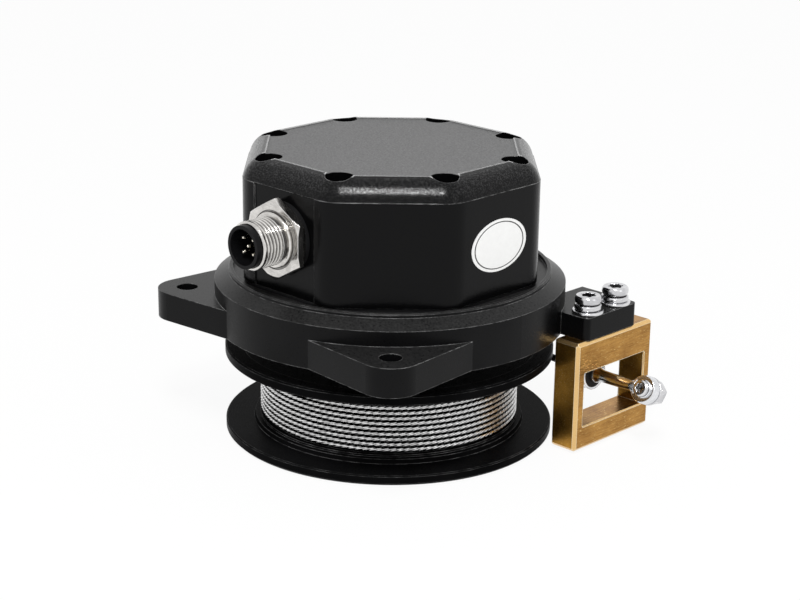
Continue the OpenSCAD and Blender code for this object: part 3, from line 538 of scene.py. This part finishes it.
def corners(node):
    """Low and high corner of a node's box, in millimetres."""
    return [np.array(corner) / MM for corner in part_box(node)]


def store_painted_shade(item, *shade_marks):
    """Stores how much painted shade each point takes, from 0 none to 1 dark, shell by shell."""
    grime = item.data.attributes.new("grime", "FLOAT", "POINT")
    grime.data.foreach_set("value", np.concatenate([np.ravel(m) for m in shade_marks]).astype(np.float32))


# ---------------------------------------------------------------- rope, in millimetres

ROPE_D, LAY = 1.2, 10.4               # width over the strands, and length of one full twist
ROPE_PITCH, ROPE_TURNS = 1.375, 10.15
CLEAR_X = 9.6                         # where the drawn rope is clear of the winding
SLEEVE_LEN = 16.0                     # it runs straight from here to the bumper
ALONG = 0.6                           # step along its path
STRAND_SHARP = 60                     # the valleys stay smooth up to this angle


def strand_section():
    """Outline of six round strands: angle and radius of each column, and whether it lies in a valley.

    A strand of radius d/6 at d/3 from the middle reaches, at the angle a off its own middle,
    d/3 cos a + sqrt((d/6)^2 - (d/3 sin a)^2); the wires fill the valleys up to 0.4 d."""
    off = np.radians(np.tile([-30.0, -15.0, 0.0, 15.0], 6))
    middle = np.radians(np.repeat(60.0 * np.arange(6), 4))
    out = ROPE_D / 3
    reach = out * np.cos(off) + np.sqrt(np.maximum((ROPE_D / 6) ** 2 - (out * np.sin(off)) ** 2, 0))
    return middle + off, np.maximum(reach, 0.4 * ROPE_D), np.abs(off) > math.radians(29)


def twisted(angle, rows):
    """Angle of each column at each row: the section turns by a full circle for each lay length."""
    return angle[None, :] + 2 * np.pi * np.arange(rows)[:, None] * ALONG / LAY


def laid_tube(path):
    """Tube of six strands along a path.

    A point lies at path + radius (cos a level + sin a rise), where level is tangent x z made one
    long, and rise is level x tangent."""
    angle, reach, _ = strand_section()
    tangent = np.gradient(path, axis=0)
    tangent /= np.linalg.norm(tangent, axis=1, keepdims=True)
    level = np.cross(tangent, [0.0, 0.0, 1.0])
    level /= np.linalg.norm(level, axis=1, keepdims=True)
    rise = np.cross(level, tangent)
    turn = twisted(angle, len(path))
    across, up = reach * np.cos(turn), reach * np.sin(turn)
    return path[:, None, :] + across[..., None] * level[:, None, :] + up[..., None] * rise[:, None, :]


def rope_painted_shade(rows, sheltered):
    """Painted shade in the valleys, and where sheltered is 1 on the side that faces the core and other turns.

    That side is shaded by (0.78 - cos a) / 0.3, kept from 0 to 1, at the angle a off the open side."""
    # Painted shade: 0.8 in the valleys and 0.9 on the rope's closed ends.
    in_valley, at_end = 0.8, 0.9
    angle, _, valley = strand_section()
    shaded_side = np.clip((0.78 - np.cos(twisted(angle, rows))) / 0.3, 0, 1) * sheltered
    return np.append(np.maximum(in_valley * valley[None, :], shaded_side).ravel(), [at_end, at_end])


def rope_run(x):
    """Points of the drawn rope at each x: level as it leaves the winding, then straight down the sleeve.

    Before the sleeve the fall is the cubic that starts level and ends on the sleeve's slope: with u
    from 0 at the winding to 1 at the sleeve, slope knee ((3 u^2 - 2 u^3) + (u^3 - u^2))."""
    first = corners("rope_windings")[1] - ROPE_D / 2
    low, high = corners("rubber_bumper")
    slope = (first[2] - (low[2] + high[2]) / 2) / low[0]
    knee = low[0] - SLEEVE_LEN
    u = np.clip(x / knee, 0, 1)
    eased = slope * knee * (3 * u ** 2 - 2 * u ** 3) + slope * knee * (u ** 3 - u ** 2)
    fall = np.where(x < knee, eased, slope * x)
    return np.stack([x, np.full_like(x, first[1]), first[2] - fall], -1)


def wound_rope():
    """One layer on the core: a straight start, then a helix whose end dips into the core.

    The helix has the start's radius, and falls by the pitch in each turn."""
    dip_length, dip = 7.0, 1.9
    start = rope_run(np.arange(CLEAR_X, 0.1, -ALONG))
    radius = start[0, 1]
    first_z = corners("rope_windings")[1][2] - ROPE_D / 2
    length = 2 * np.pi * radius * ROPE_TURNS
    along = np.linspace(0.0, length, int(length / ALONG))
    angle = np.pi / 2 + along / radius
    reach = radius - np.clip((along - length + dip_length) / dip_length, 0, 1) ** 2 * dip
    level = first_z - ROPE_PITCH * (angle - np.pi / 2) / (2 * np.pi)
    path = np.concatenate([start, np.stack([reach * np.cos(angle), reach * np.sin(angle), level], -1)])
    item = piece("wound_rope", [(laid_tube(path), False)], "rope_steel", "drum", ("rope_windings",),
                 STRAND_SHARP)
    # Painted shade also on the side of the wound turns that faces the core.
    on_core = np.where(np.arange(len(path)) < len(start), 0.0, 1.0)
    store_painted_shade(item, rope_painted_shade(len(path), on_core[:, None]))


def free_rope():
    """Rope from just clear of the winding to the bumper, made as one piece on no body."""
    gap, into_bumper, hold, free_x = 0.2, 0.5, 2.7, 21
    end_x = corners("rubber_bumper")[0][0]
    path = rope_run(np.arange(CLEAR_X + gap, end_x + into_bumper, ALONG))
    item = piece("free_rope", [(laid_tube(path), False)], "rope_steel", None, ("rope_lead",),
                 STRAND_SHARP)
    store_painted_shade(item, rope_painted_shade(len(path), 0.0))
    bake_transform(item)


# ---------------------------------------------------------------- screws and washers, in millimetres

SCREW_PITCH, SCREW_GROOVE = 0.5, 0.10


def six_lobe(reach, count):
    """Radius of a six-lobed recess at each angle a: reach (1 + 0.15 cos 6a) / 1.15."""
    return reach * (1 + 0.15 * np.cos(6 * rounds(count))) / 1.15


def headed_screw(shank_r, tip_z, seat_z, head_r, top_z, recess_r, recess_depth, count=96):
    """Screw standing head up, and its painted shade: none outside, dark under the head and down the recess.

    The shank's radius at the height z and angle a is shank_r - groove (1 - cos(2 pi z / pitch - a)).
    The head's side bulges: its radius is head_r - 0.55 bulge (1 - cos b) at the height bulge (1 + sin b)
    over the seat, where bulge is half the head's height."""
    bulge = (top_z - seat_z) * 0.5
    levels = np.arange(tip_z, seat_z - 0.2, SCREW_PITCH / 4)
    phase = [2 * np.pi / SCREW_PITCH * (level - tip_z) - rounds(count) for level in levels]
    shank = [(shank_r - SCREW_GROOVE * (1 - np.cos(turn)), level) for turn, level in zip(phase, levels)]
    side = [(head_r - bulge * 0.55 * (1 - np.cos(b)), seat_z + bulge * (1 + np.sin(b)))
            for b in np.radians([-70, -50, -30, -10, 10, 30, 50, 65, 78])]
    lobe = six_lobe(recess_r, count)
    floor_z = top_z - recess_depth
    recess = [(head_r * 0.82, top_z), (lobe + 0.10, top_z), (lobe, top_z - 0.10), (lobe * 0.95, floor_z),
              (lobe * 0.3, floor_z - 0.15)]
    rows = [(shank_r * 0.7, tip_z - 0.3)] + shank + [(shank_r, seat_z)] + side + recess
    # Painted shade: dark under the head and down the recess.
    shade_mark = np.zeros((len(rows), count))
    under_head = len(shank) + 2
    shade_mark[under_head:under_head + 2] = 0.8
    shade_mark[-2:] = [[0.8], [0.9]]
    return polar(rows, count), np.append(shade_mark.ravel(), [0.0, 0.9])


def spring_ring(inner, outer, low, high, gap_deg=16.0, lift=0.25):
    """Split ring with a slot left open: an eight-sided section carried round a helix that rises by lift."""
    cut, count = 0.28, 100
    thick = high - low - lift
    angle = np.radians(np.linspace(gap_deg / 2, 360 - gap_deg / 2, count))
    rise = low + lift * np.linspace(0, 1, count)
    section = np.array([(inner + cut, 0), (outer - cut, 0), (outer, cut), (outer, thick - cut),
                        (outer - cut, thick), (inner + cut, thick), (inner, thick - cut), (inner, cut)])
    grid = np.empty((count, len(section), 3))
    grid[..., 0] = section[:, 0] * np.cos(angle)[:, None]
    grid[..., 1] = section[:, 0] * np.sin(angle)[:, None]
    grid[..., 2] = section[:, 1] + rise[:, None]
    return grid


def plain_ring(inner, outer, low, high, soft=0.1):
    """Flat ring whose edges are broken by soft, as a closed profile turned once round."""
    return polar([(inner, low + soft), (inner, high - soft), (inner + soft, high), (outer - soft, high),
                  (outer - soft * 0.3, high - soft * 0.3), (outer, high - soft), (outer, low + soft),
                  (outer - soft, low), (inner + soft, low)])


def guide_fasteners():
    """Two screws, each on a split and a flat washer, down through the lug into the brass frame."""
    low, high = corners("guide_screws")
    flat_low, flat_high = corners("guide_flat_washers")
    split_low, split_high = corners("guide_spring_washers")
    head_r, flat_r, split_r = ((b[0] - a[0]) / 2 for a, b in (
        (low, high), (flat_low, flat_high), (split_low, split_high)))
    x, up = (low[0] + high[0]) / 2, (0, 0, 1)
    seat = split_high[2] + 0.5
    screw, shade_marks = headed_screw(shank_r=1.95, tip_z=low[2] + 0.3, seat_z=seat, head_r=head_r,
                                top_z=high[2], recess_r=2.0, recess_depth=1.5)
    flat = plain_ring(inner=2.2, outer=flat_r, low=flat_low[2], high=flat_high[2], soft=0.22)
    split = spring_ring(inner=2.15, outer=split_r, low=split_low[2], high=seat)
    screws, flats, splits = [], [], []
    for turn, y in ((17, low[1] + head_r), (49, high[1] - head_r)):
        screws.append((aimed(screw, (x, y, 0), up, turn), False))
        flats.append((aimed(flat, (x, y, 0), up), True))
        splits.append((aimed(split, (x, y, 0), up, turn * 5), False))
    store_painted_shade(piece("guide_screw_pair", screws, "zinc_screws", "housing", ("guide_screws",)), shade_marks, shade_marks)
    piece("guide_flat_rings", flats, "zinc_screws", "housing", ("guide_flat_washers",))
    piece("guide_split_rings", splits, "zinc_screws", "housing", ("guide_spring_washers",))


def wire_fitting():
    """Turned rod flared at its foot, ending in a round eye with a barrel-shaped rim.

    Along the flare the radius runs evenly from foot_r to neck_r, less hollow sin(pi u) for u from 0 to
    1. The eye's rim is an arc: radius eye_r - bulge (1 - cos a) at 0.98 eye_half sin a."""
    low, high = corners("end_fitting")
    y, z = (low[1] + high[1]) / 2, (low[2] + high[2]) / 2
    eye_r, eye_half, bore_r, face_r, bulge = 3.7, 1.5, 1.6, 2.2, 0.42
    foot_r, neck_r, hollow, flare_from, flare_length = 2.2, 1.65, 0.12, 1.2, 2.2
    lean = math.radians(25)
    eye_axis = (0.0, -math.cos(lean), math.sin(lean))
    eye_x = high[0] - eye_r
    root = eye_x - low[0] - eye_r
    flare = [(foot_r * (1 - u) + neck_r * u - hollow * math.sin(math.pi * u), flare_from + flare_length * u)
             for u in np.linspace(0, 1, 9)]
    neck = [(1.45, -3.0), (1.38, -1.0), (1.55, -0.2), (2.0, 0.7), (2.3, 1.4)]
    rod = ([(foot_r - 0.15, 0.0), (foot_r, 0.15), (foot_r, 1.1)] + flare
           + [(radius, root + x) for radius, x in neck])
    rim = [(eye_r - bulge + bulge * math.cos(a), eye_half * math.sin(a) * 0.98)
           for a in np.radians(np.arange(-80, 81, 16))]
    eye = ([(bore_r, -eye_half), (bore_r, eye_half), (face_r, eye_half), (face_r + 0.15, eye_half - 0.12)]
           + rim[::-1] + [(face_r, -eye_half)])
    piece("wire_fitting", [(aimed(polar(rod, 64), (low[0], y, z), (1, 0, 0)), False),
                           (aimed(polar(eye), (eye_x, y, z), eye_axis), True)],
          "polished_steel", "wire_end", ("end_fitting",), sharp_deg=32)
    return (eye_x, y, z), eye_axis, eye_half


def eye_fasteners(middle, axis, half):
    """Screw through the eye, its head on the eye's front face, with washers and a nut behind."""
    flat_high, split_high = half + 0.6, half + 1.4
    back = tuple(-part for part in axis)
    screw, shade_marks = headed_screw(shank_r=1.45, tip_z=-half - 4.2, seat_z=half, head_r=2.1,
                                top_z=half + 1.3, recess_r=1.2, recess_depth=0.9)
    head = piece("eye_screw_head", [(aimed(screw, middle, axis, 10), False)],
                 "zinc_screws", "wire_end", ("eye_screw",))
    store_painted_shade(head, shade_marks)
    flat = plain_ring(inner=1.6, outer=3.65, low=half, high=flat_high)
    split = spring_ring(inner=1.65, outer=3.25, low=flat_high, high=split_high, gap_deg=14, lift=0.2)
    piece("eye_flat_ring", [(aimed(flat, middle, back), True), (aimed(split, middle, back, 120), False)],
          "zinc_screws", "wire_end", ("eye_washers",))
    nut = hex_ring(inner=1.55, flat_r=2.75, low=split_high + 0.01, high=half + 3.8)
    piece("eye_hex_nut", [(aimed(nut, middle, back, 10), True)], "zinc_screws", "wire_end", ("eye_nut",))


def hexagon(flat_r, corner_share, count):
    """Distance from the middle to a hexagon's side at each angle, and that radius where the corners are
    turned off: flat_r / cos(angle off the side's middle), and at most corner_share flat_r."""
    off = np.mod(rounds(count) + np.pi / 6, np.pi / 3) - np.pi / 6
    reach = flat_r / np.cos(off)
    return reach, np.minimum(reach, flat_r * corner_share)


def hex_ring(inner, flat_r, low, high):
    """Hexagonal nut whose corners are turned off at about 30 degrees on both faces."""
    cut = 0.15
    reach, crest = hexagon(flat_r, 1.045, 96)
    slope = (reach - crest) * 0.55
    return polar([(inner + cut, high), (crest, high), (reach, high - slope), (reach, low + slope),
                  (crest, low), (inner + cut, low), (inner, low + cut), (inner, high - cut)])


def connector_barrel():
    """Threaded plug with its hexagon and collar, as one closed profile round the plug's axis.

    The thread's radius at the height z and angle a is thread_r - depth s, where s is 1.25 times a wave
    0.5 + 0.5 cos(2 pi z / pitch - a), less 0.2 and kept from 0 to 1, so that its crest is flat."""
    count, pitch, depth = 120, 1.0, 0.36
    thread_r, bore_r, stem_r, undercut_r = 6.0, 5.35, 6.2, 5.62
    low, high = corners("connector_shell")
    middle, axis = (0, 0, (low[2] + high[2]) / 2), (0, -1, 0)
    stem_end, tip = -high[1], -low[1]
    hex_back = -corners("connector_seal")[0][1]
    hex_face = hex_back + 2.6
    reach, crest = hexagon(min(high[0] - low[0], high[2] - low[2]) / 2, 1.035, count)
    slope = (reach - crest) * 0.6
    rows = [(stem_r, stem_end), (stem_r, hex_back), (crest - 0.1, hex_back),
            (reach, hex_back + slope + 0.1), (reach, hex_face - slope), (crest, hex_face)]
    groove = len(rows) + 1
    rows += [(radius, hex_face + step) for radius, step in (
        (7.35, 0.0), (7.2, -0.35), (6.95, -0.35), (6.85, 0.55), (6.6, 0.75), (6.05, 0.8), (undercut_r, 0.95))]
    start, end = hex_face + 1.6, tip - 0.9
    rows += [(undercut_r, start - 0.2), (thread_r, start + 0.2)]
    levels = np.arange(start + 0.25, end, 0.1)
    fade = np.clip((end - levels) / 0.8, 0, 1) * np.clip((levels - start) / 0.4, 0, 1)
    for level, share in zip(levels, fade):
        wave = 0.5 + 0.5 * np.cos(2 * np.pi * level / pitch - rounds(count))
        rows.append((thread_r - depth * share * np.clip(wave * 1.25 - 0.2, 0, 1), level))
    mouth = [(thread_r, tip - 0.85), (thread_r, tip - 0.35), (thread_r - 0.3, tip), (bore_r + 0.05, tip),
             (bore_r, tip - 0.05), (bore_r, stem_end)]
    grid = polar(rows + mouth, count)
    barrel = piece("connector_barrel", [(aimed(grid, middle, axis), True)], "nickel", "housing",
                   ("connector_shell",), sharp_deg=28)
    away = np.hypot(grid[..., 0], grid[..., 1])
    # Painted shade in the thread's roots and the groove by the collar.
    shade_mark = np.clip((thread_r - 0.04 - away) / (depth - 0.04), 0, 1)
    shade_mark[:groove - 1] = 0.0
    shade_mark[groove:groove + 2] = 0.7
    shade_mark[-len(mouth):] = 0.0
    store_painted_shade(barrel, shade_mark)


# ---------------------------------------------------------------- moulded cover, in millimetres

def octagon_wall(profile, inradius, corner_r, corner_columns=13, flat_columns=7):
    """Octagon with round corners; the profile's rows are (offset, height).

    Every column has a foot on the octagon through the middles of the corners' arcs, and an outward
    direction; a point lies at foot + offset * direction. Directions turn by 45 degrees at each corner
    and stay the same along each flat."""
    eighth = math.pi / 4
    mid = (inradius - corner_r) / math.cos(eighth / 2)
    feet, ways = [], []
    for k in range(8):
        at = eighth / 2 + k * eighth
        turn = at + np.linspace(-eighth / 2, eighth / 2, corner_columns)
        corner, following = (mid * np.array([math.cos(a), math.sin(a)]) for a in (at, at + eighth))
        feet.append(np.tile(corner, (corner_columns, 1)))
        ways.append(np.stack([np.cos(turn), np.sin(turn)], -1))
        share = (np.arange(flat_columns) + 1.0)[:, None] / (flat_columns + 1)
        feet.append(corner + (following - corner) * share)
        ways.append(np.tile([math.cos(turn[-1]), math.sin(turn[-1])], (flat_columns, 1)))
    feet, ways = np.concatenate(feet), np.concatenate(ways)
    grid = np.empty((len(profile), len(feet), 3))
    for i, (offset, height) in enumerate(profile):
        grid[i, :, :2] = feet + offset * ways
        grid[i, :, 2] = height
    return grid


def cut_with(item, tool, operation):
    """Exact boolean of two mesh objects, kept in the first; the tool goes away."""
    step = item.modifiers.new(operation.lower(), "BOOLEAN")
    step.operation = operation
    step.solver = "EXACT"
    step.object = tool
    bpy.context.view_layer.update()
    made = bpy.data.meshes.new_from_object(item.evaluated_get(bpy.context.evaluated_depsgraph_get()))
    item.modifiers.clear()
    for name in ("custom_normal", "sharp_face"):
        if name in made.attributes:
            made.attributes.remove(made.attributes[name])
    item.data = made
    bpy.data.objects.remove(tool)


def moulded_cover():
    """The cover under a rounder skin: its solid kept only inside a dome with a full round rim, and wide
    screw pockets sunk through that rim.

    Rim: offset = corner_r - fillet (1 - cos a), height = top - fillet (1 - sin a), both less skin."""
    skin, fillet, corner_r, draft, mould_drop = 0.02, 6.2, 8.0, 0.15, 5.4
    pocket_r, pocket_inset, head_height, over_head = 3.4, 6.4, 2.0, 2.2
    low, high = corners("cover")
    top = high[2]
    mould = top - mould_drop
    half = (high[0] - low[0]) / 2 - draft
    rim = [(corner_r - skin - fillet * (1 - math.cos(a)), top - skin - fillet * (1 - math.sin(a)))
           for a in np.radians(np.linspace(0, 90, 13))]
    wall = corner_r + draft - skin
    profile = [(wall, low[2] - 1.0), (wall, mould), (corner_r - skin, mould + 0.12)]
    profile += [row for row in rim if row[1] > mould + 0.2]
    item = bpy.data.objects.new("moulded_cover", NODES["cover"].data.copy())
    bpy.context.scene.collection.objects.link(item)
    dome = piece("skin", [(octagon_wall(profile, half, corner_r), False)], "black_cover", None)
    cut_with(item, dome, "INTERSECT")
    ring = (half - pocket_inset) / math.cos(math.pi / 8)
    seat = corners("cover_screws")[1][2] - head_height
    pocket = polar([(pocket_r, seat + over_head), (pocket_r, top + 2)], 48)
    pockets = [(aimed(pocket, (ring * math.cos(a), ring * math.sin(a), 0), (0, 0, 1)), False)
               for a in np.radians(22.5 + 45.0 * np.arange(8))]
    cut_with(item, piece("pockets", pockets, "black_cover", None), "DIFFERENCE")
    item.data.polygons.foreach_set("use_smooth", np.ones(len(item.data.polygons), bool))
    item.data.set_sharp_from_angle(angle=math.radians(24))
    item.data.materials.clear()
    item.data.materials.append(FINISHES["black_cover"])
    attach(item, "housing")
    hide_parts("cover")


moulded_cover()
wound_rope()
free_rope()
guide_fasteners()
eye_fasteners(*wire_fitting())
connector_barrel()


# ---------------------------------------------------------------- stage

def fresh(owner):
    """An empty node tree of a material or a world: its nodes and links."""
    owner.use_nodes = True
    owner.node_tree.nodes.clear()
    return owner.node_tree.nodes, owner.node_tree.links


def blended(nodes, links, factor, first, second, output):
    """Joins two shaders by a factor, and sends them to the output."""
    mix = nodes.new("ShaderNodeMixShader")
    for source, socket in zip((factor, first.outputs[0], second.outputs[0]), mix.inputs):
        links.new(source, socket)
    links.new(mix.outputs[0], nodes.new(output).inputs[0])


def pale_paint(name, share_white):
    """Pale floor: rays in clear view see it mixed with plain white, so that its shadow is faint."""
    material = bpy.data.materials.new(name)
    nodes, links = fresh(material)
    diffuse = nodes.new("ShaderNodeBsdfDiffuse")
    diffuse.inputs["Color"].default_value = (0.9, 0.9, 0.9, 1.0)
    white = nodes.new("ShaderNodeEmission")
    white.inputs["Strength"].default_value = 1.0
    share = nodes.new("ShaderNodeMath")
    share.operation = "MULTIPLY"
    share.inputs[1].default_value = share_white
    links.new(clear_rays(nodes, links), share.inputs[0])
    blended(nodes, links, share.outputs[0], diffuse, white, "ShaderNodeOutputMaterial")
    return material


def clear_rays(nodes, links):
    """1 for rays that see the surroundings directly, in a mirror or through glass."""
    path = nodes.new("ShaderNodeLightPath")
    value = path.outputs["Is Camera Ray"]
    for name in ("Is Glossy Ray", "Is Transmission Ray"):
        both = nodes.new("ShaderNodeMath")
        both.operation = "MAXIMUM"
        links.new(value, both.inputs[0])
        links.new(path.outputs[name], both.inputs[1])
        value = both.outputs[0]
    return value


def studio():
    """Pale floor and an even white room, dimmer where it only lights the part."""
    floor_width, gap, share_white = 6.0, 0.2, 0.92
    lighting, in_view = 0.64, 1.0
    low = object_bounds()[0][2]
    bpy.ops.mesh.primitive_plane_add(size=floor_width, location=(0, 0, low - gap * MM))
    floor = bpy.context.object
    floor.name = "floor"
    floor.data.materials.append(pale_paint("floor paint", share_white))

    world = bpy.data.worlds.new("room")
    bpy.context.scene.world = world
    nodes, links = fresh(world)
    rooms = []
    for strength in (lighting, in_view):
        room = nodes.new("ShaderNodeBackground")
        room.inputs["Color"].default_value = (1.0, 1.0, 1.0, 1.0)
        room.inputs["Strength"].default_value = strength
        rooms.append(room)
    blended(nodes, links, clear_rays(nodes, links), *rooms, "ShaderNodeOutputWorld")


def lamp(name, place, aim, size, power):
    """Soft lamp of a width and height in metres and a power in watts, at a place and facing a point."""
    data = bpy.data.lights.new(name, "AREA")
    data.shape = "RECTANGLE"
    data.size, data.size_y = size
    data.energy = power
    item = bpy.data.objects.new(name, data)
    bpy.context.scene.collection.objects.link(item)
    item.location = place
    item.rotation_euler = (Vector(aim) - Vector(place)).to_track_quat("-Z", "Y").to_euler()


def camera():
    """Long lens that looks down on the corner between the connector and the label, rolled a little."""
    place = Vector((330.2, -334.5, 158.5)) * MM
    pan, tilt, roll = math.radians(45) - 0.012, 0.317, 0.014
    ahead = Vector((-math.sin(pan) * math.cos(tilt), math.cos(pan) * math.cos(tilt), -math.sin(tilt)))
    right = ahead.cross(Vector((0, 0, 1))).normalized()
    up = right.cross(ahead)
    turned_right = right * math.cos(roll) + up * math.sin(roll)
    turned_up = up * math.cos(roll) - right * math.sin(roll)
    data = bpy.data.cameras.new("camera")
    data.sensor_fit = "HORIZONTAL"
    data.sensor_width = 36.0
    data.lens = 86.53
    data.clip_start = 0.01
    item = bpy.data.objects.new("camera", data)
    bpy.context.scene.collection.objects.link(item)
    columns = (turned_right, turned_up, -ahead, place)
    item.matrix_world = Matrix([[column[k] for column in columns] for k in range(3)] + [(0, 0, 0, 1)])
    bpy.context.scene.camera = item


studio()
lamp("key", place=(0.40, -0.40, 0.66), aim=(0, 0, 0.01), size=(0.15, 0.15), power=3.1)
lamp("fill", place=(0.75, 0.05, 0.35), aim=(0, 0, 0), size=(0.3, 0.4), power=0.25)
lamp("top", place=(0.27, -0.32, 0.79), aim=(0, 0, 0), size=(0.16, 0.16), power=1.9)
camera()
bpy.context.scene.view_settings.view_transform = "Standard"
